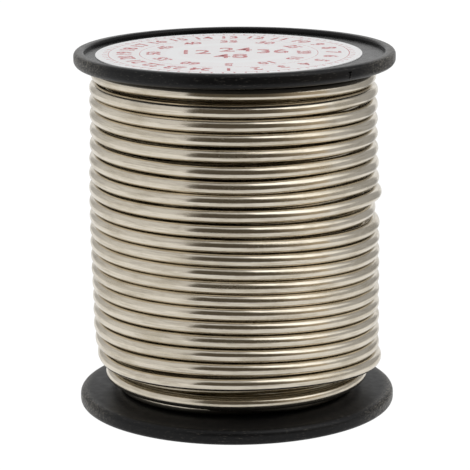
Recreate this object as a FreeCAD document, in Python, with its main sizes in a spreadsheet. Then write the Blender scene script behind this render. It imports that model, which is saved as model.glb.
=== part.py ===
"""Solder wire spool: a moulded reel of two flanges on a ribbed barrel, wound with thick soft solder wire.

Millimetres, +Z up. The origin is the centre of the ring that the reel stands on.
The front of the reel, which faces -Y, is azimuth 0, and azimuths grow anticlockwise seen from above.
"""

import FreeCAD
import Part
import Sketcher
import math
import os
from FreeCAD import Rotation, Vector

MATCH = 0.01
SHORT_STEP = 0.0001
FRONT = -90.0

doc = FreeCAD.newDocument("SolderWireSpool")

# Driving sizes

SIZES = (
    ("flange_radius", 35.0),
    ("spool_height", 79.0),
    ("rim_thickness", 3.2),
    ("rim_width", 2.35),
    ("recess_depth", 1.0),
    ("outer_edge_fillet", 0.8),
    ("recess_edge_fillet", 0.6),
    ("inner_edge_fillet", 0.9),
    ("face_slope", 2.5),
    ("pocket_wall", 1.6),
    ("pocket_margin", 5.0),
    ("flange_rib_count", 8),
    ("flange_rib_thickness", 1.2),
    ("boss_wall", 2.0),
    ("rim_slit_width", 0.35),
    ("rim_slit_depth", 0.4),
    ("rim_slit_length", 1.6),
    ("rim_slit_start", 0.5),
    ("top_slit_azimuth", 43.0),
    ("bottom_slit_azimuth", 160.0),
    ("barrel_radius", 18.5),
    ("barrel_wall", 2.0),
    ("bore_radius", 8.0),
    ("hub_wall", 1.8),
    ("middle_wall", 2.0),
    ("barrel_rib_count", 6),
    ("barrel_rib_thickness", 1.4),
    ("spigot_length", 4.0),
    ("spigot_wall", 1.6),
    ("fit_clearance", 0.05),
    ("weld_overlap", 0.3),
    ("label_margin", 3.65),
    ("label_shift", -1.25),
    ("label_thickness", 0.15),
    ("wire_diameter", 3.0),
    ("turn_play", 0.05),
    ("turn_gap", 0.45),
    ("rim_clearance", 2.9),
    ("core_clearance", 0.15),
    ("tube_sides", 8),
    ("loose_turn_lift", 0.9),
    ("loose_turn_fall", 2.9),
    ("climb_height", 5.2),
    ("climb_azimuth", 80.0),
    ("end_azimuth", -150.0),
    ("hop_azimuth", 135.0),
    ("hop_share", 0.8),
)

sheet = doc.addObject("Spreadsheet::Sheet", "Sizes")


def fill_sheet(sizes, first_row):
    """Write named sizes into the sheet, one to a row."""
    for row, (alias, number) in enumerate(sizes, start=first_row):
        sheet.set(f"A{row}", alias)
        sheet.set(f"B{row}", str(number))
        sheet.setAlias(f"B{row}", alias)
    doc.recompute()


def size(alias):
    """One size of the sheet."""
    return float(sheet.get(alias))


fill_sheet(SIZES, first_row=1)


# Expressions that several pieces share. A flange's heights count from its outer plane.

RECESS_RADIUS = "(Sizes.flange_radius - Sizes.rim_width)"
SLOPE = "tan(Sizes.face_slope * 1 deg)"
FACE_AT_BARREL = f"(Sizes.rim_thickness + (Sizes.flange_radius - Sizes.barrel_radius) * {SLOPE})"
HUB_RADIUS = "(Sizes.bore_radius + Sizes.hub_wall)"
HUB_HOLE_RADIUS = f"({HUB_RADIUS} + Sizes.fit_clearance)"
BOSS_RADIUS = f"({HUB_HOLE_RADIUS} + Sizes.boss_wall)"
BARREL_INSIDE = "(Sizes.barrel_radius - Sizes.barrel_wall)"
SPIGOT_RADIUS = f"({BARREL_INSIDE} - Sizes.fit_clearance)"
SPIGOT_END = f"({FACE_AT_BARREL} + Sizes.spigot_length)"
POCKET_RADIUS = f"({RECESS_RADIUS} - Sizes.pocket_margin)"
FACE_AT_POCKET = f"(Sizes.rim_thickness + (Sizes.flange_radius - {POCKET_RADIUS}) * {SLOPE})"
LOWER_MIDDLE = "((Sizes.spool_height - Sizes.middle_wall) / 2)"
UPPER_MIDDLE = "((Sizes.spool_height + Sizes.middle_wall) / 2)"


# Sketches and features

def origin_part(body, role):
    """The plane or axis of the body's own origin that has this role."""
    for feature in body.Origin.OriginFeatures:
        if feature.Role == role:
            return feature
    raise ValueError(role)


def new_body(name):
    """An empty body whose label names its file."""
    body = doc.addObject("PartDesign::Body", name)
    body.Label = name
    return body


def new_sketch(body, name, role):
    """An empty sketch on one of the body's origin planes."""
    sketch = body.newObject("Sketcher::SketchObject", name)
    sketch.AttachmentSupport = [(origin_part(body, role), "")]
    sketch.MapMode = "FlatFace"
    return sketch


def place(sketch, geometry, point, corner):
    """Hold one point of the sketch at a pair of sheet expressions."""
    for kind, expression in zip(("DistanceX", "DistanceY"), corner):
        value = sketch.evalExpression(expression)
        index = sketch.addConstraint(Sketcher.Constraint(kind, -1, 1, geometry, point, value))
        sketch.setExpression(f"Constraints[{index}]", expression)


def draw_outline(sketch, corners):
    """A closed outline of straight lines through corners that are pairs of sheet expressions."""
    points = [Vector(*(sketch.evalExpression(part) for part in corner)) for corner in corners]
    lines = []
    for start, end in zip(points, points[1:] + points[:1]):
        lines.append(sketch.addGeometry(Part.LineSegment(start, end)))
    for line, following in zip(lines, lines[1:] + lines[:1]):
        sketch.addConstraint(Sketcher.Constraint("Coincident", line, 2, following, 1))
    for line, corner in zip(lines, corners):
        place(sketch, line, 1, corner)


def draw_circle(sketch, centre, radius):
    """A circle whose centre and radius are sheet expressions."""
    middle = Vector(*(sketch.evalExpression(part) for part in centre))
    value = sketch.evalExpression(radius)
    circle = sketch.addGeometry(Part.Circle(middle, Vector(0, 0, 1), value))
    index = sketch.addConstraint(Sketcher.Constraint("Radius", circle, value))
    sketch.setExpression(f"Constraints[{index}]", radius)
    place(sketch, circle, 3, centre)


def revolve(body, kind, name, corners):
    """A Revolution or Groove of an outline in radius and height, all the way round Z."""
    sketch = new_sketch(body, f"{name}_outline", "XZ_Plane")
    draw_outline(sketch, corners)
    feature = body.newObject(f"PartDesign::{kind}", name)
    feature.Profile = sketch
    feature.ReferenceAxis = (origin_part(body, "Z_Axis"), [""])
    feature.Angle = 360
    doc.recompute()
    return feature


def thicken(body, kind, name, corners, length):
    """A Pad or Pocket of an outline in radius and height, to both sides of the XZ plane."""
    sketch = new_sketch(body, f"{name}_outline", "XZ_Plane")
    draw_outline(sketch, corners)
    feature = body.newObject(f"PartDesign::{kind}", name)
    feature.Profile = sketch
    feature.SideType = "Symmetric"
    feature.setExpression("Length", length)
    doc.recompute()
    return feature


def repeat_round_axis(body, name, original, count):
    """Copies of one feature, evenly spaced round Z."""
    pattern = body.newObject("PartDesign::PolarPattern", name)
    pattern.Originals = [original]
    pattern.Axis = (origin_part(body, "Z_Axis"), [""])
    pattern.Angle = 360
    pattern.setExpression("Occurrences", count)
    body.Tip = pattern
    doc.recompute()
    return pattern


def round_ring(body, name, radius, height, fillet_radius):
    """A Fillet on the ring-shaped edge of the body's tip that has this radius and height."""
    base = body.Tip
    ring = body.evalExpression(radius)
    level = body.evalExpression(height)
    edges = []
    for number, edge in enumerate(base.Shape.Edges, start=1):
        if not isinstance(edge.Curve, Part.Circle):
            continue
        if abs(edge.Curve.Radius - ring) < MATCH and abs(edge.Curve.Center.z - level) < MATCH:
            edges.append(f"Edge{number}")
    feature = body.newObject("PartDesign::Fillet", name)
    feature.Base = (base, edges)
    feature.setExpression("Radius", fillet_radius)
    doc.recompute()
    return feature


def must_remove(feature, before):
    """Stop if a cutting feature took nothing away."""
    if feature.Shape.Volume > before - MATCH:
        raise ValueError(f"{feature.Label} cuts nothing")


# Flanges: one moulding, used both ways up

def make_flange(name):
    """A flange on its back: its outer plane at Z 0 and its winding face upwards."""
    body = new_body(name)
    inner_spigot = f"({SPIGOT_RADIUS} - Sizes.spigot_wall)"
    revolve(body, "Revolution", f"{name}_disc", (
        (HUB_HOLE_RADIUS, "Sizes.recess_depth"),
        (RECESS_RADIUS, "Sizes.recess_depth"),
        (RECESS_RADIUS, "0"),
        ("Sizes.flange_radius", "0"),
        ("Sizes.flange_radius", "Sizes.rim_thickness"),
        ("Sizes.barrel_radius", FACE_AT_BARREL),
        (SPIGOT_RADIUS, FACE_AT_BARREL),
        (SPIGOT_RADIUS, SPIGOT_END),
        (inner_spigot, SPIGOT_END),
        (inner_spigot, FACE_AT_BARREL),
        (HUB_HOLE_RADIUS, FACE_AT_BARREL),
    ))
    outer = "Sizes.flange_radius"
    inner_edge = "Sizes.rim_thickness"
    round_ring(body, f"{name}_outer_edge", outer, "0", "Sizes.outer_edge_fillet")
    round_ring(body, f"{name}_recess_edge", RECESS_RADIUS, "0", "Sizes.recess_edge_fillet")
    round_ring(body, f"{name}_inner_edge", outer, inner_edge, "Sizes.inner_edge_fillet")
    before = body.Tip.Shape.Volume
    pocket = revolve(body, "Groove", f"{name}_pocket", (
        (BOSS_RADIUS, "0"),
        (POCKET_RADIUS, "0"),
        (POCKET_RADIUS, f"{FACE_AT_POCKET} - Sizes.pocket_wall"),
        ("Sizes.barrel_radius", f"{FACE_AT_BARREL} - Sizes.pocket_wall"),
        (BOSS_RADIUS, f"{FACE_AT_BARREL} - Sizes.pocket_wall"),
    ))
    must_remove(pocket, before)
    rib = thicken(body, "Pad", f"{name}_rib", (
        (f"{BOSS_RADIUS} - Sizes.weld_overlap", "Sizes.recess_depth"),
        (f"{POCKET_RADIUS} + Sizes.weld_overlap", "Sizes.recess_depth"),
        (f"{POCKET_RADIUS} + Sizes.weld_overlap", f"{FACE_AT_POCKET} - Sizes.pocket_wall"),
        ("Sizes.barrel_radius", f"{FACE_AT_BARREL} - Sizes.pocket_wall + Sizes.weld_overlap"),
        (f"{BOSS_RADIUS} - Sizes.weld_overlap", f"{FACE_AT_BARREL} - Sizes.pocket_wall + Sizes.weld_overlap"),
    ), "Sizes.flange_rib_thickness")
    repeat_round_axis(body, f"{name}_ribs", rib, "Sizes.flange_rib_count")
    before = body.Tip.Shape.Volume
    slit_end = "Sizes.rim_slit_start + Sizes.rim_slit_length"
    slit = thicken(body, "Pocket", f"{name}_slit", (
        ("Sizes.flange_radius - Sizes.rim_slit_depth", "Sizes.rim_slit_start"),
        ("Sizes.flange_radius + Sizes.rim_slit_depth", "Sizes.rim_slit_start"),
        ("Sizes.flange_radius + Sizes.rim_slit_depth", slit_end),
        ("Sizes.flange_radius - Sizes.rim_slit_depth", slit_end),
    ), "Sizes.rim_slit_width")
    must_remove(slit, before)
    return body


bottom_flange = make_flange("bottom_flange")
turned = FRONT + size("bottom_slit_azimuth")
bottom_flange.Placement = FreeCAD.Placement(Vector(0, 0, 0), Rotation(Vector(0, 0, 1), turned))

top_flange = make_flange("top_flange")
turned = Rotation(Vector(0, 0, 1), FRONT + size("top_slit_azimuth"))
face_down = Rotation(Vector(1, 0, 0), 180)
top_flange.Placement = FreeCAD.Placement(Vector(0, 0, size("spool_height")), turned.multiply(face_down))
top_flange.setExpression("Placement.Base.z", "Sizes.spool_height")


# Barrel: core tube, middle wall and hub tube in one moulding, stiffened by ribs

def make_barrel(name):
    """The barrel, standing where it stands in the reel."""
    body = new_body(name)
    tube_top = f"(Sizes.spool_height - {FACE_AT_BARREL})"
    hub_top = "(Sizes.spool_height - Sizes.recess_depth)"
    revolve(body, "Revolution", f"{name}_tubes", (
        ("Sizes.bore_radius", "Sizes.recess_depth"),
        (HUB_RADIUS, "Sizes.recess_depth"),
        (HUB_RADIUS, LOWER_MIDDLE),
        (BARREL_INSIDE, LOWER_MIDDLE),
        (BARREL_INSIDE, FACE_AT_BARREL),
        ("Sizes.barrel_radius", FACE_AT_BARREL),
        ("Sizes.barrel_radius", tube_top),
        (BARREL_INSIDE, tube_top),
        (BARREL_INSIDE, UPPER_MIDDLE),
        (HUB_RADIUS, UPPER_MIDDLE),
        (HUB_RADIUS, hub_top),
        ("Sizes.bore_radius", hub_top),
    ))
    rib_low = f"({SPIGOT_END} + Sizes.fit_clearance)"
    rib_high = f"(Sizes.spool_height - {rib_low})"
    rib_inside = f"{HUB_RADIUS} - Sizes.weld_overlap"
    rib_outside = f"{BARREL_INSIDE} + Sizes.weld_overlap"
    rib = thicken(body, "Pad", f"{name}_rib", (
        (rib_inside, rib_low),
        (rib_outside, rib_low),
        (rib_outside, rib_high),
        (rib_inside, rib_high),
    ), "Sizes.barrel_rib_thickness")
    repeat_round_axis(body, f"{name}_ribs", rib, "Sizes.barrel_rib_count")
    return body


barrel = make_barrel("barrel")


# Label: a paper disc, stuck a little off centre in the top recess

def make_label(name):
    """The paper disc on the floor of the top flange's recess."""
    body = new_body(name)
    sketch = new_sketch(body, f"{name}_outline", "XY_Plane")
    draw_circle(sketch, ("Sizes.label_shift", "0"), f"{RECESS_RADIUS} - Sizes.label_margin")
    paper = body.newObject("PartDesign::Pad", f"{name}_paper")
    paper.Profile = sketch
    paper.setExpression("Length", "Sizes.label_thickness")
    body.setExpression("Placement.Base.z", "Sizes.spool_height - Sizes.recess_depth")
    doc.recompute()
    return body


front_label = make_label("front_label")


# Winding: how the wire lies on the reel
# Each layer sits in the grooves of the one below. The outer layer is one tube, drawn thinner than the
# wire so that its turns stay apart. It starts as the loose bottom turn of the layer below, climbs to the
# outer layer behind the reel, and winds upwards and clockwise until it ends behind the reel at the top.

def face_height(radius):
    """The winding face's height above the flange's outer plane, at a radius."""
    fall = (size("flange_radius") - radius) * math.tan(math.radians(size("face_slope")))
    return size("rim_thickness") + fall


LAYER_RISE = size("wire_diameter") * math.sin(math.radians(60))
WINDING_DEPTH = size("flange_radius") - size("rim_clearance") - size("wire_diameter") - size("barrel_radius")
LAYERS_BELOW = math.floor(WINDING_DEPTH / LAYER_RISE)
OUTER_RADIUS = size("barrel_radius") + size("wire_diameter") / 2 + LAYERS_BELOW * LAYER_RISE
LOOSE_RADIUS = OUTER_RADIUS - LAYER_RISE
LOOSE_HEIGHT = face_height(LOOSE_RADIUS) + size("wire_diameter") / 2 + size("loose_turn_lift")
FIRST_HEIGHT = LOOSE_HEIGHT + size("climb_height")
LAST_GAP = face_height(OUTER_RADIUS) + size("wire_diameter") / 2 + size("core_clearance")
LAST_HEIGHT = size("spool_height") - LAST_GAP


def climbed(azimuth):
    """Turns climbed at an azimuth: most of each turn's rise is in a hop behind the reel."""
    hop = math.sin(math.radians(azimuth - size("hop_azimuth")))
    return -azimuth / 360 - size("hop_share") * hop / (2 * math.pi)


LAST_PART = (size("climb_azimuth") - size("end_azimuth")) / 360
LAST_RISE = climbed(size("end_azimuth")) - climbed(size("climb_azimuth"))
LEAST_PITCH = size("wire_diameter") + size("turn_play")
WHOLE_TURNS = math.floor((LAST_HEIGHT - FIRST_HEIGHT) / LEAST_PITCH - LAST_RISE)
PITCH = (LAST_HEIGHT - FIRST_HEIGHT) / (WHOLE_TURNS + LAST_RISE)
TUBE_RADIUS = (PITCH - size("turn_gap")) / 2
CLIMB_START = 0.5
OUTER_START = 1.0
PATH_TURNS = OUTER_START + WHOLE_TURNS + LAST_PART


def smooth(share):
    """Eases from 0 to 1."""
    share = min(max(share, 0.0), 1.0)
    return share * share * (3 - 2 * share)


def wire_radius_at(turns):
    """Distance of the wire's centre from the axis, after this many turns."""
    climb = (turns - CLIMB_START) / (OUTER_START - CLIMB_START)
    return LOOSE_RADIUS + LAYER_RISE * smooth(climb)


def wire_height_at(turns):
    """Height of the wire's centre, after this many turns."""
    azimuth = size("climb_azimuth") - 360 * turns
    outer = FIRST_HEIGHT + PITCH * (climbed(azimuth) - climbed(size("climb_azimuth")) - OUTER_START)
    loose = LOOSE_HEIGHT + size("loose_turn_fall") * (1 + math.cos(2 * math.pi * min(turns, CLIMB_START))) / 2
    return loose + (outer - loose) * smooth((turns - CLIMB_START) / (OUTER_START - CLIMB_START))


def wire_point(turns):
    """The wire's centre, after this many turns."""
    angle = math.radians(FRONT + size("climb_azimuth") - 360 * turns)
    radius = wire_radius_at(turns)
    return Vector(radius * math.cos(angle), radius * math.sin(angle), wire_height_at(turns))


def wire_direction(turns):
    """The wire's direction, after this many turns."""
    return (wire_point(turns + SHORT_STEP) - wire_point(turns - SHORT_STEP)).normalize()


def arc_between(start, corner, end):
    """The arc that leaves start towards corner and reaches end from it."""
    half_turn = (corner - start).getAngle(end - corner) / 2
    weight = math.cos(half_turn)
    middle = (start + corner * (2 * weight) + end) * (1 / (2 + 2 * weight))
    return Part.Arc(start, middle, end)


def biarc(start, start_direction, end, end_direction):
    """Two tangent arcs from start to end, with equal arms at both ends."""
    span = end - start
    both = start_direction + end_direction
    square = 4 - both.dot(both)
    linear = 2 * span.dot(both)
    constant = -span.dot(span)
    arm = (math.sqrt(linear * linear - 4 * square * constant) - linear) / (2 * square)
    first_corner = start + start_direction * arm
    last_corner = end - end_direction * arm
    joint = (first_corner + last_corner) * 0.5
    return arc_between(start, first_corner, joint), arc_between(joint, last_corner, end)


def wire_path():
    """The wire's centre line: a straight end, a pair of arcs for each half turn, a straight end."""
    steps = math.ceil(PATH_TURNS * 2)
    stops = [PATH_TURNS * step / steps for step in range(steps + 1)]
    edges = []
    for begin, finish in zip(stops, stops[1:]):
        arcs = biarc(wire_point(begin), wire_direction(begin), wire_point(finish), wire_direction(finish))
        edges.extend(arc.toShape() for arc in arcs)
    first = wire_point(0)
    lead = first - wire_direction(0) * (2 * TUBE_RADIUS)
    last = wire_point(PATH_TURNS)
    tail = last + wire_direction(PATH_TURNS) * (2 * TUBE_RADIUS)
    edges.insert(0, Part.LineSegment(lead, first).toShape())
    edges.append(Part.LineSegment(last, tail).toShape())
    return Part.Wire(edges)


def tube_section(centre, direction):
    """The tube's section: a regular polygon with a flat side facing outwards."""
    outwards = direction.cross(Vector(0, 0, 1)).normalize()
    upwards = outwards.cross(direction)
    sides = int(size("tube_sides"))
    corners = []
    for side in range(sides):
        angle = 2 * math.pi * (side + 0.5) / sides
        corners.append(centre + (outwards * math.cos(angle) + upwards * math.sin(angle)) * TUBE_RADIUS)
    return Part.makePolygon(corners + corners[:1])


def make_outer_layer(name):
    """The outer layer of turns and the loose turn below it, as one unbroken tube."""
    path = wire_path()
    first = path.OrderedEdges[0]
    section = tube_section(first.valueAt(first.FirstParameter), wire_direction(0))
    tube = path.makePipeShell([section], True, False)
    expected = Part.Face(section).Area * path.Length
    print(f"{name}: {path.Length:.0f} mm of wire, volume {tube.Volume:.0f} of {expected:.0f} mm3")
    feature = doc.addObject("Part::Feature", name)
    feature.Label = name
    feature.Shape = tube
    return feature


solder_outer_layer = make_outer_layer("solder_outer_layer")


def print_least_gap():
    """The tube's least gap to itself, between points half a turn to one and a half turns apart."""
    per_turn = 72
    near = per_turn // 2
    far = near + per_turn
    count = int(PATH_TURNS * per_turn)
    points = [wire_point(index / per_turn) for index in range(count + 1)]
    spans = []
    for index, point in enumerate(points):
        spans.extend(point.distanceToPoint(other) for other in points[index + near:index + far])
    gap = min(spans) - 2 * TUBE_RADIUS
    print(f"turns {PATH_TURNS:.2f}, layers {LAYERS_BELOW + 1}, pitch {PITCH:.3f}, tube {2 * TUBE_RADIUS:.3f}")
    print(f"least gap of the tube to itself {gap:.3f} mm")


print_least_gap()


# The layers below: a plain stepped sleeve, whose narrow foot the loose turn lies round

fill_sheet((
    ("sleeve_radius", OUTER_RADIUS - TUBE_RADIUS - size("core_clearance")),
    ("sleeve_foot_radius", LOOSE_RADIUS - TUBE_RADIUS - size("core_clearance")),
    ("sleeve_step_height", FIRST_HEIGHT),
), first_row=len(SIZES) + 2)


def make_inner_layers(name):
    """The wire below the outer layer, as a plain sleeve that reaches from flange to flange."""
    body = new_body(name)
    inside = "(Sizes.barrel_radius + Sizes.fit_clearance)"
    outside = "Sizes.sleeve_radius"
    foot = "Sizes.sleeve_foot_radius"

    def low_face(radius):
        """The sleeve's end at a radius, just clear of the flange's face."""
        return f"(Sizes.rim_thickness + (Sizes.flange_radius - {radius}) * {SLOPE} + Sizes.fit_clearance)"

    revolve(body, "Revolution", f"{name}_sleeve", (
        (inside, low_face(inside)),
        (foot, low_face(foot)),
        (foot, "Sizes.sleeve_step_height"),
        (outside, "Sizes.sleeve_step_height"),
        (outside, f"Sizes.spool_height - {low_face(outside)}"),
        (inside, f"Sizes.spool_height - {low_face(inside)}"),
    ))
    return body


solder_inner_layers = make_inner_layers("solder_inner_layers")

# Check everything, then write one file for each piece

PIECES = (bottom_flange, top_flange, barrel, front_label, solder_inner_layers, solder_outer_layer)

doc.recompute()
for item in doc.Objects:
    if "Invalid" in item.State or "Error" in item.State:
        raise RuntimeError(f"{item.Label} is {item.State}")
for piece in PIECES:
    shape = piece.Shape
    if shape.isNull() or not shape.isValid() or len(shape.Solids) != 1:
        raise RuntimeError(f"{piece.Label} is not one valid solid")

os.makedirs("parts", exist_ok=True)
for piece in PIECES:
    piece.Shape.exportStep(f"parts/{piece.Label}.step")
    print(f"{piece.Label}: {piece.Shape.Volume:.0f} mm3")
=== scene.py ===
# %% [markdown]
# A spool of thick solder wire: a black moulded reel, wound full of bare wire, with a paper label in its top.
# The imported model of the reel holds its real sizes, and this lesson gives every surface its look. Sizes
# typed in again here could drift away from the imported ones, so the model is loaded and measured.

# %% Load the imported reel
import math

import bmesh
import bpy
from mathutils import Matrix, Vector


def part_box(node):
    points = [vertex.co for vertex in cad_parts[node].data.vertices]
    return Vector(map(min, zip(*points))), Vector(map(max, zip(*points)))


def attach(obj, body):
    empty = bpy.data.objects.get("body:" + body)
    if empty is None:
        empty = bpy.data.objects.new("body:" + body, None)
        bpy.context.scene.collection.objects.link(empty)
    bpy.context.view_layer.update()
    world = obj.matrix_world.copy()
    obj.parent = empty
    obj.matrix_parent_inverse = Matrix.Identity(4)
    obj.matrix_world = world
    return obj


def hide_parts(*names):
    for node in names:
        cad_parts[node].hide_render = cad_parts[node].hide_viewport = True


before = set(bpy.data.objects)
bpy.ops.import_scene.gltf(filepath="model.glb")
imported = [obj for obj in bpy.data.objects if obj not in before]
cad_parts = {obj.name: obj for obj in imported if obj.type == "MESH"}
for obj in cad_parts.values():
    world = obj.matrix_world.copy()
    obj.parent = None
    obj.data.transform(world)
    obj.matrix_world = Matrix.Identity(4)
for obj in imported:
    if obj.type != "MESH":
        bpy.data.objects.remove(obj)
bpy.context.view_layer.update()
print("nodes:", ", ".join(sorted(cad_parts)))

# %% [markdown]
# Blender works in metres here and a reel is measured in millimetres, so a size is written as a number of MM.
# How wide and tall the reel is, how thick its barrel is, and where the label lies are read from the packed
# model. Azimuths count in degrees from the front of the reel, anticlockwise seen from above.

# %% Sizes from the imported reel
MM = 0.001
FULL_TURN = 360
MATRIX_ROWS = 4
REEL_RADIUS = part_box("bottom_flange")[1].x
REEL_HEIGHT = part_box("top_flange")[1].z
BARREL_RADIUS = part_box("barrel")[1].x
LABEL_LOW, LABEL_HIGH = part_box("front_label")
LABEL_CENTRE = (LABEL_LOW + LABEL_HIGH) / 2


def at_azimuth(azimuth, radius, height):
    """The point at an azimuth in degrees, a distance from the reel's axis and a height."""
    angle = math.radians(azimuth)
    return Vector((radius * math.sin(angle), -radius * math.cos(angle), height))


def rotation(angle, axis):
    """The turn about an axis by an angle."""
    return Matrix.Rotation(angle, MATRIX_ROWS, axis)


print(f"reel {2 * REEL_RADIUS / MM:.1f} mm across and {REEL_HEIGHT / MM:.1f} mm tall")

# %% [markdown]
# The photograph was taken with a long lens from half a metre away, looking down by 13 degrees. A long lens
# keeps both flanges almost equally wide, so the focal length matters as much as the place. A constraint
# could aim the camera at the reel, but a fixed place and turn is easier to compare and repeat.

# %% Camera
FOCAL_LENGTH = 177.86
CAMERA_PLACE = Vector((-0.177, -500.39, 155.14)) * MM
CAMERA_DIP = math.radians(13.237)
CAMERA_ROLL = math.radians(-0.418)
LEVEL_LOOK = math.radians(90)

bpy.ops.object.camera_add()
camera = bpy.context.object
camera.name = "camera"
camera.data.lens = FOCAL_LENGTH
look_down = rotation(LEVEL_LOOK - CAMERA_DIP, "X")
camera.matrix_world = Matrix.Translation(CAMERA_PLACE) @ look_down @ rotation(CAMERA_ROLL, "Z")
bpy.context.scene.camera = camera
bpy.context.scene.view_settings.view_transform = "Standard"
print(f"camera {CAMERA_PLACE.length / MM:.0f} mm from the reel's foot")

# %% [markdown]
# Every material, the floor and the world are small networks of nodes. Written out, each node takes several
# lines: one to add it, some to set it, and one for each link. The first helper does all of that in one,
# where an input is given a plain value or the output of another node. The second clears the nodes that a new
# tree comes with.

# %% Helpers that add nodes


def add_node(tree, kind, inputs=(), **settings):
    """Add a node, set its properties, and fill its inputs with values or with other nodes' outputs."""
    node = tree.nodes.new("ShaderNode" + kind)
    for name, value in settings.items():
        setattr(node, name, value)
    for name, value in dict(inputs).items():
        if isinstance(value, bpy.types.NodeSocket):
            tree.links.new(value, node.inputs[name])
        else:
            node.inputs[name].default_value = value
    return node


def empty_tree(owner):
    """The node tree of a material or world, with its default nodes removed."""
    owner.use_nodes = True
    owner.node_tree.nodes.clear()
    return owner.node_tree


print("node helpers ready")

# %% [markdown]
# Some nodes come back in almost every material: a calculation, a blend of two numbers or colours, a smooth
# rise, and the place on a piece. Each gets a short helper. A Mix node has sockets for every type at once, so
# they are picked by number: 2 and 3 take numbers, and 6 and 7 take colours.

# %% Helpers for nodes that come back


def calculate(tree, operation, *values):
    """The output of a Math node."""
    return add_node(tree, "Math", dict(enumerate(values)), operation=operation).outputs[0]


def blend_values(tree, share, low, high):
    """A number that goes from low to high with the share."""
    return add_node(tree, "Mix", {0: share, 2: low, 3: high}, data_type="FLOAT").outputs[0]


def blend_colors(tree, share, first, second):
    """A colour that goes from the first to the second with the share."""
    return add_node(tree, "Mix", {0: share, 6: first, 7: second}, data_type="RGBA").outputs[2]


def rise(tree, value, low, high):
    """Goes smoothly from 0 to 1 while a value goes from low to high."""
    inputs = {"Value": value, "From Min": low, "From Max": high}
    return add_node(tree, "MapRange", inputs, interpolation_type="SMOOTHSTEP").outputs[0]


def own_place(tree):
    """The place on the piece, in metres."""
    return add_node(tree, "TexCoord").outputs["Object"]


def parts_of(tree, place):
    """The three coordinates of a place."""
    return add_node(tree, "SeparateXYZ", {0: place}).outputs


def gray(level):
    """A colour with the same red, green and blue."""
    return (level, level, level, 1.0)


WHITE = gray(1.0)
print(f"white is {WHITE}")

# %% [markdown]
# The picture is a studio shot on white. A brighter world would give that white too, but its light would wash
# out the black plastic, so the camera's white comes from the Light Path node and lights nothing. Mirrors
# such as the wire see a softer level, and matt surfaces get the plain level at which a colour looks about as
# it was written.

# %% World
SEEN_WHITE = 1.0
MIRRORED_WHITE = 0.85
PLAIN_LIGHT = 0.66

studio = bpy.data.worlds.new("studio")
bpy.context.scene.world = studio
tree = empty_tree(studio)
rays = add_node(tree, "LightPath").outputs
level = blend_values(tree, rays["Is Glossy Ray"], PLAIN_LIGHT, MIRRORED_WHITE)
level = blend_values(tree, rays["Is Transmission Ray"], level, SEEN_WHITE)
level = blend_values(tree, rays["Is Camera Ray"], level, SEEN_WHITE)
sky = add_node(tree, "Background", {"Color": WHITE, "Strength": level})
add_node(tree, "OutputWorld", {"Surface": sky.outputs[0]})
print(f"plain light {PLAIN_LIGHT}, mirrored white {MIRRORED_WHITE}")

# %% [markdown]
# The floor is a matt white sheet. A lamp could burn it out to white, but would burn out the label too.
# Instead a glow that only the camera sees covers almost all of it, so that it melts into the background and
# keeps only the faintest shadow. In the wire the floor is the bright line along the lower side of each turn.
# Mirrors see it with levels of its own, because that line gets a little brighter towards the reel's sides.

# %% Floor
FLOOR_SIZE = 6.0
FLOOR_COLOR = 0.8
FLOOR_GLOW = 1.06
GLOW_SHARE = 0.97
MIRRORED_FLOOR = 0.75
MIRRORED_SIDES = 0.87
SIDES_START = 10 * MM
SIDES_END = 60 * MM

bpy.ops.mesh.primitive_plane_add(size=FLOOR_SIZE)
floor = bpy.context.object
floor.name = "floor"
sheet = bpy.data.materials.new("white_sheet")
tree = empty_tree(sheet)
rays = add_node(tree, "LightPath").outputs
matt = add_node(tree, "BsdfDiffuse", {"Color": gray(FLOOR_COLOR)})
glow = add_node(tree, "Emission", {"Color": WHITE, "Strength": FLOOR_GLOW})
from_middle = calculate(tree, "ABSOLUTE", parts_of(tree, own_place(tree))[0])
sides = rise(tree, from_middle, SIDES_START, SIDES_END)
level = blend_values(tree, sides, MIRRORED_FLOOR, MIRRORED_SIDES)
mirrored = add_node(tree, "Emission", {"Color": WHITE, "Strength": level})
share = calculate(tree, "MULTIPLY", rays["Is Camera Ray"], GLOW_SHARE)
seen = add_node(tree, "MixShader", {0: share, 1: matt.outputs[0], 2: glow.outputs[0]})
final = add_node(tree, "MixShader", {0: rays["Is Glossy Ray"], 1: seen.outputs[0], 2: mirrored.outputs[0]})
add_node(tree, "OutputMaterial", {"Surface": final.outputs[0]})
floor.data.materials.append(sheet)
print(f"floor {FLOOR_SIZE} m wide")

# %% [markdown]
# Round bare metal shows the room more than itself: a dark middle where it mirrors the camera's side, a
# bright line above from a softbox, and a bright line below from the floor. Lamps alone can't give such
# bands, so cards stand round the reel, as in a real studio. Only mirrors see a card, so it neither blocks
# the camera nor throws a shadow.

# %% Light up a card


def light_up(card, azimuths, levels, color):
    """Make a card shine, from one level to another between two azimuths, and show it to mirrors only."""
    paint = bpy.data.materials.new(card.name)
    tree = empty_tree(paint)
    across, ahead, _ = parts_of(tree, own_place(tree))
    azimuth = calculate(tree, "ARCTAN2", across, calculate(tree, "MULTIPLY", ahead, -1))
    share = rise(tree, azimuth, math.radians(azimuths[0]), math.radians(azimuths[1]))
    level = blend_values(tree, share, levels[0], levels[1])
    shine = add_node(tree, "Emission", {"Color": color, "Strength": level})
    add_node(tree, "OutputMaterial", {"Surface": shine.outputs[0]})
    card.data.materials.append(paint)
    card.visible_camera = False
    card.visible_diffuse = False
    card.visible_transmission = False
    card.visible_shadow = False
    print(f"{card.name}: azimuth {azimuths[0]} to {azimuths[1]}, level {levels[0]} to {levels[1]}")


print("cards can shine")

# %% [markdown]
# Most cards are a line spun about the reel's axis, because flat boards would show their corners in the wire.
# An operator such as spin works on the active object and on all that is selected, so everything else is
# deselected first.

# %% Spin a card
SPIN_STEPS = 32


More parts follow.
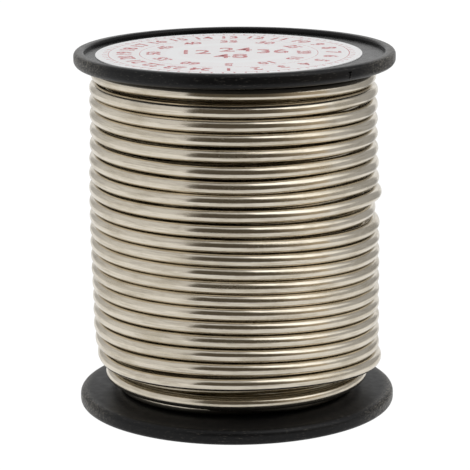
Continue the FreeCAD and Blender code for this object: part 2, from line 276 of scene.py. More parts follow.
def add_mesh(name, corners, links, faces):
    """A new object in the scene, with a mesh of these corners, links and faces."""
    shape = bpy.data.meshes.new(name)
    shape.from_pydata(corners, links, faces)
    piece = bpy.data.objects.new(name, shape)
    bpy.context.scene.collection.objects.link(piece)
    return piece


def deselect_all():
    """Leave every object unselected."""
    bpy.ops.object.select_all(action="DESELECT")


def make_active(piece):
    """Select one piece alone and make it the active one."""
    deselect_all()
    piece.select_set(True)
    bpy.context.view_layer.objects.active = piece


def spun_card(name, azimuths, profile, levels, color):
    """A card that follows a profile of (radius, height) pairs, spun between two azimuths."""
    start, end = azimuths
    corners = [at_azimuth(start, radius, height) for radius, height in profile]
    links = [(corner, corner + 1) for corner in range(len(corners) - 1)]
    card = add_mesh(name, corners, links, [])
    make_active(card)
    bpy.ops.object.mode_set(mode="EDIT")
    bpy.ops.mesh.select_all(action="SELECT")
    bpy.ops.mesh.spin(steps=SPIN_STEPS, angle=-math.radians(end - start), center=(0, 0, 0), axis=(0, 0, 1))
    bpy.ops.object.mode_set(mode="OBJECT")
    light_up(card, azimuths, levels, color)


print("card helpers ready")

# %% [markdown]
# The card on the camera's side is almost dark and warm, and gives each turn its brown middle. The walls at
# the sides are much brighter, and the corner on the right leads from one to the other. Some of them go on
# over the floor, where the wire's lower half looks. A low dome closes the room above. Sizes of the studio
# are in metres.

# %% Cards round the reel
CARD_RADIUS = 0.6
CARD_LOW = 0.001
WALL_TOP = 0.76
FLOOR_START = 0.165
# profiles are (radius, height) pairs
WALL = ((CARD_RADIUS, CARD_LOW), (CARD_RADIUS, WALL_TOP))
WALL_AND_FLOOR = ((FLOOR_START, CARD_LOW), *WALL)
DOME = ((0.62, WALL_TOP), (0.3, 0.86), (0.001, 0.88))
CARD_BROWN = (1.0, 0.86, 0.66, 1.0)
CARDS = (
    # name, azimuths at both ends, profile, levels at both ends, colour
    ("camera_side", (-35, 22), WALL_AND_FLOOR, (0.085, 0.085), CARD_BROWN),
    ("right_corner", (22, 76), WALL_AND_FLOOR, (0.085, 0.47), CARD_BROWN),
    ("right_wall", (76, 150), WALL_AND_FLOOR, (0.47, 0.37), WHITE),
    ("left_wall", (-108, -35), WALL, (0.67, 0.67), WHITE),
    ("left_back", (-155, -108), WALL, (0.46, 0.67), WHITE),
    ("ceiling", (-180, 180), DOME, (0.6, 0.6), WHITE),
)

for card in CARDS:
    spun_card(*card)

# %% [markdown]
# The softbox is the brightest card: it gives the bright line along the upper side of each turn. That line
# starts thin near the middle and widens to the right, so the softbox isn't a rectangle. Its lower edge falls
# towards the right in steps that are given by azimuth, and its upper edge lies level under the dome.

# %% Softbox
SOFTBOX_LEVELS = (1.55, 0.75)
SOFTBOX_FADE = (58, 112)
SOFTBOX_TOP_RADIUS = 0.22
SOFTBOX_TOP = 0.72
SOFTBOX_EDGE = (
    # azimuth, height of the lower edge
    (20, 0.63), (32, 0.57), (42, 0.44), (52, 0.31), (62, 0.26), (80, 0.235), (108, 0.215))

lower = [at_azimuth(azimuth, CARD_RADIUS, height) for azimuth, height in SOFTBOX_EDGE]
upper = [at_azimuth(azimuth, SOFTBOX_TOP_RADIUS, SOFTBOX_TOP) for azimuth, height in SOFTBOX_EDGE]
count = len(SOFTBOX_EDGE)
panels = [(step, step + 1, count + step + 1, count + step) for step in range(count - 1)]
softbox = add_mesh("softbox", lower + upper, [], panels)
light_up(softbox, SOFTBOX_FADE, SOFTBOX_LEVELS, WHITE)

# %% [markdown]
# Matt surfaces need some light with a direction, or the label and the flanges look flat. A sun would draw
# hard shadows, so one large area lamp above and to the right gives it. Its mirror image would draw a square
# on the wire, so mirrors don't see it.

# %% Lamp
LAMP_PLACE = Vector((0.35, -0.35, 0.75))
LAMP_SIZE = 0.5
LAMP_POWER = 1.6

bpy.ops.object.light_add(type="AREA", location=LAMP_PLACE)
lamp = bpy.context.object
lamp.name = "softbox_lamp"
lamp.data.size = LAMP_SIZE
lamp.data.energy = LAMP_POWER
lamp.rotation_euler = LAMP_PLACE.to_track_quat("Z", "Y").to_euler()
lamp.visible_glossy = False
print(f"lamp of {LAMP_POWER} W, {LAMP_PLACE.length:.2f} m away")

# %% [markdown]
# Picking corners, edges or faces by number would break as soon as an earlier step changes, so they are
# picked by where they are. Everything on a reel is round, and so two tests are enough for the whole flange:
# one finds what lies on a circle, and the other finds the ring of faces between two circles.

# %% Helpers that pick by place
NEAR = 0.02 * MM
RING_FACE_CORNERS = 4


def pick(kind, wanted):
    """In edit mode, select only the verts, edges or faces that a test accepts."""
    bpy.ops.mesh.select_mode(type={"verts": "VERT", "edges": "EDGE", "faces": "FACE"}[kind])
    bpy.ops.mesh.select_all(action="DESELECT")
    shape = bmesh.from_edit_mesh(bpy.context.edit_object.data)
    for element in getattr(shape, kind):
        if wanted(element):
            element.select_set(True)
    bmesh.update_edit_mesh(bpy.context.edit_object.data)


def corners_of(element):
    """The corners of an edge or face, or the corner itself."""
    return [element] if isinstance(element, bmesh.types.BMVert) else list(element.verts)


def is_at(corner, radius, height):
    """Whether a corner is at a distance from the axis and a height."""
    return abs(corner.co.xy.length - radius) < NEAR and abs(corner.co.z - height) < NEAR


def on_ring(radius, height):
    """A test for what has all its corners on one circle round the axis."""
    return lambda element: all(is_at(corner, radius, height) for corner in corners_of(element))


def in_band(outer, inner, height):
    """A test for the four-sided faces that span two circles at one height."""
    def wanted(face):
        sides = [corner.co.xy.length for corner in face.verts]
        level = all(abs(corner.co.z - height) < NEAR for corner in face.verts)
        spans = abs(max(sides) - outer) < NEAR and abs(min(sides) - inner) < NEAR
        return level and spans and len(sides) == RING_FACE_CORNERS
    return wanted


print(f"a corner may be {NEAR / MM:.2f} mm off its place")

# %% [markdown]
# The reel's two flanges are one moulding, used both ways up. On the real thing it is a thin disc with a
# raised, rounded rim, a shallow recess for the label, and under the label a pocket with ribs, which keeps
# the plastic thin. A spun outline would give the same rings, but pressing them out of a disc one after the
# other, as here, keeps every step visible. It starts as a plain disc that lies with its outer side down.

# %% Start the flange as a disc
ROUND_STEPS = 256
RIM_THICKNESS = 3.2 * MM

deselect_all()
bpy.ops.mesh.primitive_cylinder_add(
    vertices=ROUND_STEPS, radius=REEL_RADIUS, depth=RIM_THICKNESS, location=(0, 0, RIM_THICKNESS / 2))
flange = bpy.context.object
flange.name = "flange_moulding"
bpy.ops.object.transform_apply(location=True)
print(f"disc with {len(flange.data.polygons)} faces")

# %% [markdown]
# The face that the wire leans on rises a little towards the barrel, which helps the wire to slip off. A cone
# would need to be cut and joined, while inset makes a smaller face inside the face, and moving that face up
# makes the slope. A short ring in the middle, the spigot, holds the barrel.

# %% Shape the winding face
FACE_SLOPE = math.tan(math.radians(2.5))
FACE_RISE = (REEL_RADIUS - BARREL_RADIUS) * FACE_SLOPE
FACE_HEIGHT = RIM_THICKNESS + FACE_RISE
HUB_HOLE_RADIUS = 9.85 * MM
SPIGOT_RADIUS = 16.45 * MM
SPIGOT_WALL = 1.6 * MM
SPIGOT_LENGTH = 4.0 * MM
SPIGOT_INSIDE = SPIGOT_RADIUS - SPIGOT_WALL

make_active(flange)
bpy.ops.object.mode_set(mode="EDIT")
pick("faces", on_ring(REEL_RADIUS, RIM_THICKNESS))
bpy.ops.mesh.inset(thickness=REEL_RADIUS - BARREL_RADIUS)
bpy.ops.transform.translate(value=(0, 0, FACE_RISE))
bpy.ops.mesh.inset(thickness=BARREL_RADIUS - SPIGOT_RADIUS)
bpy.ops.mesh.inset(thickness=SPIGOT_WALL)
bpy.ops.mesh.inset(thickness=SPIGOT_INSIDE - HUB_HOLE_RADIUS)
pick("faces", in_band(SPIGOT_RADIUS, SPIGOT_INSIDE, FACE_HEIGHT))
bpy.ops.mesh.extrude_region_move(TRANSFORM_OT_translate={"value": (0, 0, SPIGOT_LENGTH)})
print(f"winding face rises {FACE_RISE / MM:.2f} mm")

# %% [markdown]
# The outer side gets the recess by pushing an inset face into the disc, and the pocket by pushing in the
# ring between its wall and the boss. Booleans could cut both, but would leave long thin faces. The two faces
# that are left in the middle, one on each side, are bridged, which opens the hole for the hub.

# %% Press in the recess, the pocket and the hub hole
RIM_WIDTH = 2.35 * MM
RECESS_DEPTH = 1.0 * MM
RECESS_RADIUS = REEL_RADIUS - RIM_WIDTH
POCKET_MARGIN = 5.0 * MM
POCKET_RADIUS = RECESS_RADIUS - POCKET_MARGIN
POCKET_FLOOR = 1.92 * MM
BOSS_RADIUS = 11.85 * MM
BOSS_RISE = 0.4 * MM

pick("faces", on_ring(REEL_RADIUS, 0))
bpy.ops.mesh.inset(thickness=RIM_WIDTH)
bpy.ops.mesh.extrude_region_move(TRANSFORM_OT_translate={"value": (0, 0, RECESS_DEPTH)})
bpy.ops.mesh.inset(thickness=POCKET_MARGIN)
bpy.ops.mesh.inset(thickness=POCKET_RADIUS - BOSS_RADIUS)
bpy.ops.mesh.inset(thickness=BOSS_RADIUS - HUB_HOLE_RADIUS)
pick("faces", in_band(POCKET_RADIUS, BOSS_RADIUS, RECESS_DEPTH))
bpy.ops.mesh.extrude_region_move(TRANSFORM_OT_translate={"value": (0, 0, POCKET_FLOOR - RECESS_DEPTH)})
pick("verts", on_ring(BOSS_RADIUS, POCKET_FLOOR))
bpy.ops.transform.translate(value=(0, 0, BOSS_RISE))
hub_low = on_ring(HUB_HOLE_RADIUS, RECESS_DEPTH)
hub_high = on_ring(HUB_HOLE_RADIUS, FACE_HEIGHT)
pick("faces", lambda face: hub_low(face) or hub_high(face))
bpy.ops.mesh.delete(type="ONLY_FACE")
pick("edges", lambda edge: hub_low(edge) or hub_high(edge))
bpy.ops.mesh.bridge_edge_loops()
print(f"recess {RECESS_DEPTH / MM:.1f} mm deep, hub hole {2 * HUB_HOLE_RADIUS / MM:.1f} mm wide")

# %% [markdown]
# No moulding has knife edges. The rim's outer edge, the edge of the recess and the edge beside the wire are
# rounded, and it is these roundings that catch the light as thin lines along the rim. A Bevel modifier would
# give all edges one size, so they are picked and bevelled one after the other, each with its own.

# %% Round the rim's edges
FILLET_STEPS = 6
ROUNDED_EDGES = (
    # radius, height, rounding
    (REEL_RADIUS, 0, 1.0 * MM),
    (RECESS_RADIUS, 0, 0.6 * MM),
    (REEL_RADIUS, RIM_THICKNESS, 1.3 * MM),
)

for radius, height, rounding in ROUNDED_EDGES:
    pick("edges", on_ring(radius, height))
    bpy.ops.mesh.bevel(offset=rounding, segments=FILLET_STEPS, affect="EDGES")
bpy.ops.object.mode_set(mode="OBJECT")
print(f"flange with {len(flange.data.polygons)} faces")

# %% [markdown]
# Eight ribs cross the pocket and stiffen the thin disc. Extruding one from the pocket's floor would need
# that floor cut to its outline first. So each is a simple box that a Boolean modifier joins to the disc, and
# a little extra length at both ends welds it to the boss and the wall.

# %% Add the ribs
RIB_COUNT = 8
RIB_TURN = math.radians(FULL_TURN / RIB_COUNT)
RIB_THICKNESS = 1.2 * MM
RIB_LOW = 1.02 * MM
RIB_HIGH = 2.5 * MM
WELD = 0.3 * MM


def add_box(low, high, turn=0.0):
    """A box between two corners, turned about the reel's axis."""
    deselect_all()
    bpy.ops.mesh.primitive_cube_add(size=1)
    box = bpy.context.object
    spread = Matrix.Diagonal((*(high - low), 1))
    box.data.transform(rotation(turn, "Z") @ Matrix.Translation((low + high) / 2) @ spread)
    return box


def combine(piece, tool, operation):
    """Join a tool to a piece or cut it out, and remove the tool."""
    make_active(piece)
    change = piece.modifiers.new("combine", "BOOLEAN")
    change.object = tool
    change.operation = operation
    change.solver = "EXACT"
    bpy.ops.object.modifier_apply(modifier=change.name)
    bpy.data.objects.remove(tool)


rib_low = Vector((BOSS_RADIUS - WELD, -RIB_THICKNESS / 2, RIB_LOW))
rib_high = Vector((POCKET_RADIUS + WELD, RIB_THICKNESS / 2, RIB_HIGH))
for number in range(RIB_COUNT):
    combine(flange, add_box(rib_low, rib_high, turn=RIB_TURN * number), "UNION")
print(f"flange with {RIB_COUNT} ribs and {len(flange.data.polygons)} faces")

# %% [markdown]
# The rim has one narrow slit, in which a wire's end can be clamped, with a small head across its outer end.
# The wall has no edges there that could be moved, so two boxes are cut out of it.

# %% Cut the slit
SLIT_WIDTH = 0.35 * MM
SLIT_DEPTH = 0.4 * MM
SLIT_LOW = 1.05 * MM
SLIT_HIGH = 2.55 * MM
HEAD_WIDTH = 1.0 * MM
HEAD_HIGH = SLIT_LOW + 0.3 * MM

for width, top in ((SLIT_WIDTH, SLIT_HIGH), (HEAD_WIDTH, HEAD_HIGH)):
    cut_low = Vector((REEL_RADIUS - SLIT_DEPTH, -width / 2, SLIT_LOW))
    cut_high = Vector((REEL_RADIUS + SLIT_DEPTH, width / 2, top))
    combine(flange, add_box(cut_low, cut_high), "DIFFERENCE")
print(f"slit {SLIT_WIDTH / MM:.2f} mm wide, {len(flange.data.polygons)} faces now")

# %% [markdown]
# One moulding becomes both flanges, so it is modelled once and copied. The lower one is turned so that its
# slit is where it belongs, and the upper one is turned over and lifted to the top. Turning the objects would
# be shorter, but a pattern on their own axes would turn too, so the meshes are turned instead.

# %% Copy the flange to both ends
BOTTOM_SLIT_AZIMUTH = 160
TOP_SLIT_AZIMUTH = 43
SMOOTH_ANGLE = math.radians(32)
AZIMUTH_OF_X = 90


def turned(azimuth):
    """The turn about the reel's axis that takes the +X side to an azimuth."""
    return rotation(math.radians(azimuth - AZIMUTH_OF_X), "Z")


make_active(flange)
bpy.ops.object.shade_smooth_by_angle(angle=SMOOTH_ANGLE)
top_flange = flange.copy()
top_flange.data = flange.data.copy()
bpy.context.scene.collection.objects.link(top_flange)
top_flange.name = "top_flange_moulding"
bottom_flange = flange
bottom_flange.name = "bottom_flange_moulding"
bottom_flange.data.transform(turned(BOTTOM_SLIT_AZIMUTH))
face_down = rotation(math.radians(FULL_TURN / 2), "X")
top_flange.data.transform(Matrix.Translation((0, 0, REEL_HEIGHT)) @ turned(TOP_SLIT_AZIMUTH) @ face_down)
for moulding, node in ((bottom_flange, "bottom_flange"), (top_flange, "top_flange")):
    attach(moulding, "root")
    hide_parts(node)
print("flanges at both ends")

# %% [markdown]
# The wire is one length, wound in five layers. A winding machine lays turn beside turn, but thick solder is
# stiff, so the turns aren't even: in places they crowd, and in places they stand apart. An even helix would
# look like a spring. So the heights of the wire at the front are given at a few turns, in millimetres, and a
# smooth curve finds the others. Turns count from 1 at the top, and the azimuth is the rest of a turn.

# %% Heights of the turns
TURN_HEIGHTS = (
    # turn, height at the front
    (1, 73.8), (2, 70.45), (4, 64.5), (5, 61.2), (8, 51.7), (11, 42.2), (17, 24.5), (21, 12.3), (22, 9.3))
LOOSE_HEIGHTS = (
    # turn, height of the loose wire
    (21.6, 6.9), (21.85, 7.2), (22, 7.1), (22.2, 6.85), (22.5, 8.2), (22.8, 10.0), (23, 10.8), (24, 14.3))


def eased(share):
    """A share that starts and ends smoothly."""
    return share * share * (3 - 2 * share)


def smooth_through(points, position):
    """A smooth curve through (place, value) pairs, straight beyond both ends."""
    slopes = [(end[1] - start[1]) / (end[0] - start[0]) for start, end in zip(points, points[1:])]
    bends = [slopes[0]] + [(before + after) / 2 for before, after in zip(slopes, slopes[1:])] + [slopes[-1]]
    first, last = points[0], points[-1]
    if position <= first[0]:
        return first[1] + bends[0] * (position - first[0])
    if position >= last[0]:
        return last[1] + bends[-1] * (position - last[0])
    part = max(index for index, (place, value) in enumerate(points[:-1]) if place <= position)
    start, end = points[part], points[part + 1]
    span = end[0] - start[0]
    share = (position - start[0]) / span
    leave = share * (1 - share) * (1 - share) * span * bends[part]
    arrive = share * share * (1 - share) * span * bends[part + 1]
    return start[1] * (1 - eased(share)) + end[1] * eased(share) + leave - arrive


SHOWN_TURN = 12
print(f"height of turn {SHOWN_TURN}: {smooth_through(TURN_HEIGHTS, SHOWN_TURN):.2f} mm")

# %% [markdown]
# Seen from the front, the turns also lean: halfway up they fall to the right more steeply than their pitch
# alone would make them, and near both ends less steeply. And they sag towards the sides, most of all near
# the bottom. More heights could be given all round the reel, but one sine and one squared sine over the turn
# do the same.

# %% Lean and sag of the turns
PITCH = 3.03
LEANS = ((1, 2.0), (7, 2.2), (9, 2.9), (12, 5.4), (18, 3.9), (21, 2.1))
SAG_MIDDLE = 0.54
SAG_CHANGE = -1.08
SAG_HEIGHT = 40.0


def sag(turn, front):
    """How far the wire hangs below its height at the front, both in millimetres."""
    depth = SAG_MIDDLE + SAG_CHANGE * (front - SAG_HEIGHT) / SAG_HEIGHT
    return depth * math.sin(2 * math.pi * turn) ** 2


def outer_height(turn):
    """Height of the outer layer's wire at a place on it, in metres."""
    front = smooth_through(TURN_HEIGHTS, turn)
    lean = (smooth_through(LEANS, turn) - PITCH) / (2 * math.pi) * math.sin(2 * math.pi * turn)
    return (front - lean - sag(turn, front)) * MM


QUARTER = 0.25
fall = outer_height(SHOWN_TURN - QUARTER) - outer_height(SHOWN_TURN + QUARTER)
print(f"turn {SHOWN_TURN} falls by {fall / MM:.1f} mm from left to right")

# %% [markdown]
# A few turns have slipped in, out, up or down. A random jitter would wander everywhere, and on the real reel
# each slip has its place, so each one is listed with its turn and azimuth and fades out to both sides as a
# bell curve. Turns past 22 belong to the inner layers.

# %% Slipped turns
SLIPPED = (
    # turn, azimuth, millimetres outwards, millimetres upwards, half width in degrees
    (1, 5, -0.5, 0.0, 45),
    (1, 62, 0.0, -0.35, 32),
    (2, -85, 0.0, -0.3, 35),
    (2, 55, 0.0, 0.1, 35),
    (3, 66, 0.0, -0.35, 30),
    (4, 66, 0.0, -0.35, 30),
    (6, 0, 0.0, -0.3, 35),
    (7, 2, 0.0, -0.35, 35),
    (7, 48, 0.0, 0.25, 25),
    (8, 52, 0.0, 0.3, 25),
    (9, 62, 0.0, 0.3, 25),
    (9, 84, 0.5, 0.1, 22),
    (10, 66, 0.0, 0.2, 25),
    (10, 86, -0.9, 0.0, 26),
    (20, -85, -0.3, 0.0, 35),
    (21, -80, -0.8, -0.15, 40),
    (21, -25, 0.0, -0.32, 45),
    (21, 75, 0.6, 0.0, 30),
    (67, -50, 0.3, 0.0, 30),
)


def slips(turn):
    """How far the wire has slipped out of line at a place on it, outwards and upwards, in metres."""
    outwards = 0.0
    upwards = 0.0
    for slipped_turn, azimuth, out, up, width in SLIPPED:
        away = (turn - slipped_turn - azimuth / FULL_TURN) * FULL_TURN / width
        share = math.exp(-away * away)
        outwards += out * share * MM
        upwards += up * share * MM
    return outwards, upwards


print(f"{len(SLIPPED)} slipped places")

# %% [markdown]
# As a whole the winding isn't even either: it is thinner at the top, swells a little in the middle and leans
# to the left. The top turn lies deeper than the rest, and the last one lies loose on the bottom flange, one
# layer deeper, after a drop behind the reel. An even winding could be bent afterwards, but that would squash
# the wire's section, so all of this is part of its path.

# %% Path of the outer layer
WIRE_RADIUS = 1.47 * MM
OUTER_LAYER = 30.4 * MM
LAYER_STEP = 2.55 * MM
LOOSE_LAYER = OUTER_LAYER - LAYER_STEP
DROP_START = 21.25
DROP_END = 21.68
TOP_TURN_DEPTH = 0.45 * MM
TOP_TURN_START = 1.4
TOP_TURN_END = 1.9
SHIFTS = ((1, -0.28), (8, -0.27), (13, -0.18), (18, 0.0), (22, 0.0))
SWELLS = ((1, -0.35), (5, -0.36), (8, 0.0), (11, 0.1), (14, 0.05), (17, -0.06), (22, -0.08))


def ease_in(value, start, end):
    """Goes smoothly from 0 to 1 between two values."""
    return eased(min(max((value - start) / (end - start), 0.0), 1.0))


def face_limit(radius):
    """The lowest height at which the wire clears the bottom flange's face at a radius."""
    return RIM_THICKNESS + (REEL_RADIUS - radius) * FACE_SLOPE + WIRE_RADIUS


def settled(turn, azimuth, radius, height):
    """Where a turn lies in the real winding, which swells, shrinks and shifts a little from end to end."""
    depth_share = (radius - BARREL_RADIUS) / (OUTER_LAYER - BARREL_RADIUS)
    place = at_azimuth(azimuth, radius + smooth_through(SWELLS, turn) * depth_share * MM, height)
    return place + Vector((smooth_through(SHIFTS, turn) * depth_share * MM, 0, 0))


def outer_wire(turn):
    """The centre of the wire at a place on it, from the top turn to the loose one."""
    drop = ease_in(turn, DROP_START, DROP_END)
    out, up = slips(turn)
    height = outer_height(turn) * (1 - drop) + smooth_through(LOOSE_HEIGHTS, turn) * MM * drop
    radius = OUTER_LAYER * (1 - drop) + LOOSE_LAYER * drop
    radius += out - TOP_TURN_DEPTH * (1 - ease_in(turn, TOP_TURN_START, TOP_TURN_END))
    height = min(height + up, REEL_HEIGHT - face_limit(radius))
    return settled(turn, FULL_TURN * turn, radius, height)


print(f"front of turn {SHOWN_TURN}:", [round(value / MM, 1) for value in outer_wire(SHOWN_TURN)])

# %% [markdown]
# A curve with a round bevel would sweep the wire too. Here the tube is built ring by ring instead, because
# each of its points then also stores where it lay while the wire was still straight: how far along, and
# where on the section. The metal's drawing lines are laid out in those coordinates, and so they follow every
# turn.

# %% Build a tube along a path


def place_rings(places, sides):
    """The corners of a ring round each place, and where each corner lay on the straight wire."""
    corners = []
    straight = []
    run = 0.0
    for index, place in enumerate(places):
        before = places[max(index - 1, 0)]
        along = (places[min(index + 1, len(places) - 1)] - before).normalized()
        outwards = along.cross(Vector((0, 0, 1))).normalized()
        upwards = outwards.cross(along)
        run += (place - before).length
        for side in range(sides):
            angle = 2 * math.pi * side / sides
            across = WIRE_RADIUS * math.cos(angle)
            over = WIRE_RADIUS * math.sin(angle)
            corners.append(place + outwards * across + upwards * over)
            straight.append((run, across, over))
    return corners, straight


def build_wire(name, places, sides):
    """A closed round tube through places, which remembers the straight wire in an attribute."""
    corners, straight = place_rings(places, sides)
    faces = [tuple(range(sides))]
    for ring in range(len(places) - 1):
        low = ring * sides
        for side in range(sides):
            after = (side + 1) % sides
            faces.append((low + side, low + sides + side, low + sides + after, low + after))
    faces.append(tuple(reversed(range(len(corners) - sides, len(corners)))))
    wire = add_mesh(name, corners, [], faces)
    layout = wire.data.attributes.new("straight_wire", "FLOAT_VECTOR", "POINT")
    layout.data.foreach_set("vector", [value for point in straight for value in point])
    make_active(wire)
    bpy.ops.object.shade_smooth_by_angle(angle=SMOOTH_ANGLE)
    print(f"{name}: {straight[-1][0]:.2f} m of wire, {len(faces)} faces")
    return wire


print("tube helpers ready")

# %% [markdown]
# The outer layer is what everyone sees, so its tube gets many sides and short steps. It starts behind the
# reel under the top flange, and ends behind it at the bottom, where the next layer takes over.

# %% Wind the outer layer
START_AZIMUTH = -150
OUTER_START = 1 + START_AZIMUTH / FULL_TURN
LAYER_JOINT = 22.5
OUTER_STEPS = 120
OUTER_SIDES = 24


def spaced_turns(start, end, steps_per_turn):
    """Evenly spaced places on the wire from a start up to an end, without the end itself."""
    count = round((end - start) * steps_per_turn)
    return [start + (end - start) * step / count for step in range(count)]


turns = spaced_turns(OUTER_START, LAYER_JOINT, OUTER_STEPS) + [LAYER_JOINT]
outer_layer = build_wire("wire_outer_layer", [outer_wire(turn) for turn in turns], OUTER_SIDES)
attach(outer_layer, "root")
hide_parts("solder_outer_layer")

# %% [markdown]
# The layers below show only through the gaps, mostly near the bottom, but a plain core would look wrong
# there. They are the same wire, which goes on from the loose turn: up the reel, down again and so on, one
# layer deeper each time it meets a flange. At each end it lies flat for part of a turn before it changes
# layer. Stations say where that happens.

# %% Stations of the inner layers
INNER_PITCH = 3.02
TOP_GAP = 2.9 * MM
BOTTOM_GAP = 0.03 * MM
CHANGE_TURNS = 0.35
FLAT_TURNS = 0.7


def end_heights(radius):
    """The lowest and highest places that a layer reaches."""
    return face_limit(radius) + BOTTOM_GAP, REEL_HEIGHT - face_limit(radius) - TOP_GAP


def inner_stations():
    """Where the inner layers turn back: (turn, radius, height), from the loose turn to the barrel."""
    turn, radius, rising = LAYER_JOINT, LOOSE_LAYER, True
    stations = [(turn, radius, outer_wire(turn).z)]
    overshoot = FLAT_TURNS * INNER_PITCH * MM
    while True:
        low, high = end_heights(radius)
        target = high if rising else low
        turn += abs(target - stations[-1][2]) / (INNER_PITCH * MM) + FLAT_TURNS
        stations.append((turn, radius, target + (overshoot if rising else -overshoot)))
        radius -= LAYER_STEP
        if radius < BARREL_RADIUS + WIRE_RADIUS:
            return stations
        rising = not rising
        turn += CHANGE_TURNS
        low, high = end_heights(radius)
        stations.append((turn, radius, low if rising else high))


stations = inner_stations()
print(f"{len(stations)} stations, the last at turn {stations[-1][0]:.1f}")

# %% [markdown]
# Between two stations the wire rises or falls evenly and is held between the flanges, which makes the flat
# parts. The turn after the loose one has sunk in among the others, which opens the dark gap above the loose
# turn, and the end of the third layer shows below it. Fewer sides than outside are enough in their shade.

# %% Wind the inner layers
INNER_STEPS = 60
INNER_SIDES = 12
SUNK_FULLY = 22.8
SUNK_END = 23.3
SUNK_NO_MORE = 23.6
SUNK_DEPTH = 2.1 * MM


def inner_wire(turn):
    """The centre of the wire at a place on the inner layers."""
    part = max(index for index, station in enumerate(stations[:-1]) if station[0] <= turn)
    start, end = stations[part], stations[part + 1]
    share = (turn - start[0]) / (end[0] - start[0])
    radius = start[1] + (end[1] - start[1]) * ease_in(share, 0, 1)
    sunk = ease_in(turn, LAYER_JOINT, SUNK_FULLY) * (1 - ease_in(turn, SUNK_END, SUNK_NO_MORE))
    radius += slips(turn)[0] - SUNK_DEPTH * sunk
    height = start[2] + (end[2] - start[2]) * share
    height -= sag(turn, height / MM) * MM
    low, high = end_heights(radius)
    height = min(max(height, low), high)
    level_turn = 1 + (outer_height(1) - height) / (PITCH * MM)
    return settled(level_turn, FULL_TURN * turn, radius, height)


turns = spaced_turns(LAYER_JOINT, stations[-1][0], INNER_STEPS)
inner_layers = build_wire("wire_inner_layers", [inner_wire(turn) for turn in turns], INNER_SIDES)
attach(inner_layers, "root")
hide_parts("solder_inner_layers")

# %% [markdown]
# The label is printed with a plain dial in a faded red: two rings of numbers and a few larger ones in the
# middle. Nodes can't draw numbers well, so these are text objects, turned into very thin meshes and placed.
# The rings and ticks are left to the paper's material.

# %% Lay a number on the label
OUTER_SIZE = 4.6 * MM
STROKE_EXTRA = 0.1 * MM
INK_THICKNESS = 0.02 * MM
CURVE_STEPS = 3


def add_number(text, size, across, ahead, turn):
    """A number of a size that lies on the label, at a place from its centre and turned."""
    deselect_all()
    bpy.ops.object.text_add()
    number = bpy.context.object
    number.data.body = text
    number.data.size = size
    number.data.offset = STROKE_EXTRA * OUTER_SIZE / size
    number.data.resolution_u = CURVE_STEPS
    number.data.align_x = "CENTER"
    number.data.align_y = "CENTER"
    number.data.extrude = INK_THICKNESS / 2
    bpy.ops.object.convert(target="MESH")
    number = bpy.context.object
    place = Vector((LABEL_CENTRE.x + across, LABEL_CENTRE.y + ahead, LABEL_HIGH.z + INK_THICKNESS / 2))
    number.data.transform(Matrix.Translation(place) @ rotation(math.radians(turn), "Z"))
    return number


def ring_of_numbers(count, size, radius, step):
    """Numbers that count up in steps, evenly round the label and each with its head outwards."""
    ring = []
    for index in range(count):
        azimuth = FULL_TURN / count * index
        place = at_azimuth(azimuth, radius, 0)
        ring.append(add_number(str(step * (index + 1)), size, place.x, place.y, azimuth - FULL_TURN / 2))
    return ring


print(f"strokes {STROKE_EXTRA / MM:.1f} mm bolder and {INK_THICKNESS / MM:.2f} mm thick")

# %% [markdown]
# The outer ring counts to 24 and the inner one to 60 in steps of 5. A loop lays each ring, because its
# numbers differ only in their count and place. They are joined at the end, as all of them are one print.

# %% Numbers on the label
OUTER_NUMBERS = 24
OUTER_COUNT = 1
OUTER_NUMBER_RADIUS = 22.6 * MM
INNER_NUMBERS = 12
INNER_COUNT = 5
INNER_SIZE = 4.2 * MM
INNER_NUMBER_RADIUS = 16.2 * MM
MIDDLE_SIZE = 7.5 * MM
MIDDLE_NUMBERS = (
    # number, millimetres to the right and to the back of the label's centre
    ("12", -7.5, 1.0), ("24", 1.5, 4.0), ("36", 9.5, 1.5), ("48", 0.5, -5.0))

numbers = ring_of_numbers(OUTER_NUMBERS, OUTER_SIZE, OUTER_NUMBER_RADIUS, step=OUTER_COUNT)
numbers += ring_of_numbers(INNER_NUMBERS, INNER_SIZE, INNER_NUMBER_RADIUS, step=INNER_COUNT)
for text, across, ahead in MIDDLE_NUMBERS:
    numbers.append(add_number(text, MIDDLE_SIZE, across * MM, ahead * MM, turn=0))
deselect_all()
for number in numbers:
    number.select_set(True)
bpy.context.view_layer.objects.active = numbers[0]
bpy.ops.object.join()
label_numbers = bpy.context.object
label_numbers.name = "label_numbers"
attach(label_numbers, "root")
print(f"{len(numbers)} numbers, {len(label_numbers.data.polygons)} faces")

# %% [markdown]
# The finishes share a few patterns: noise, noise that is stretched one way, the distance from an axis, and a
# fine relief. Pictures would need unwrapped pieces, while these patterns fill space and need only a piece's
# own coordinates.

# %% Helpers for finishes


def axis_distance(tree, place):
    """The distance of a place from the upright axis through its origin."""
    across, ahead, _ = parts_of(tree, place)
    squares = calculate(tree, "MULTIPLY", across, across)
    squares = calculate(tree, "ADD", squares, calculate(tree, "MULTIPLY", ahead, ahead))
    return calculate(tree, "SQRT", squares)


def noise(tree, place, scale, detail, roughness=0.5):
    """A noise pattern with features of about 1 / scale metres."""
    inputs = {"Vector": place, "Scale": scale, "Detail": detail, "Roughness": roughness}
    return add_node(tree, "TexNoise", inputs).outputs[0]


def stretched(tree, place, scales):
    """The place, multiplied by a scale for each axis."""
    return add_node(tree, "Mapping", {"Vector": place, "Scale": scales}).outputs[0]


def varied(tree, value, pattern, spread):
    """A value that a pattern from 0 to 1 lowers or raises by up to half the spread."""
    return calculate(tree, "ADD", value, calculate(tree, "MULTIPLY_ADD", pattern, spread, -spread / 2))


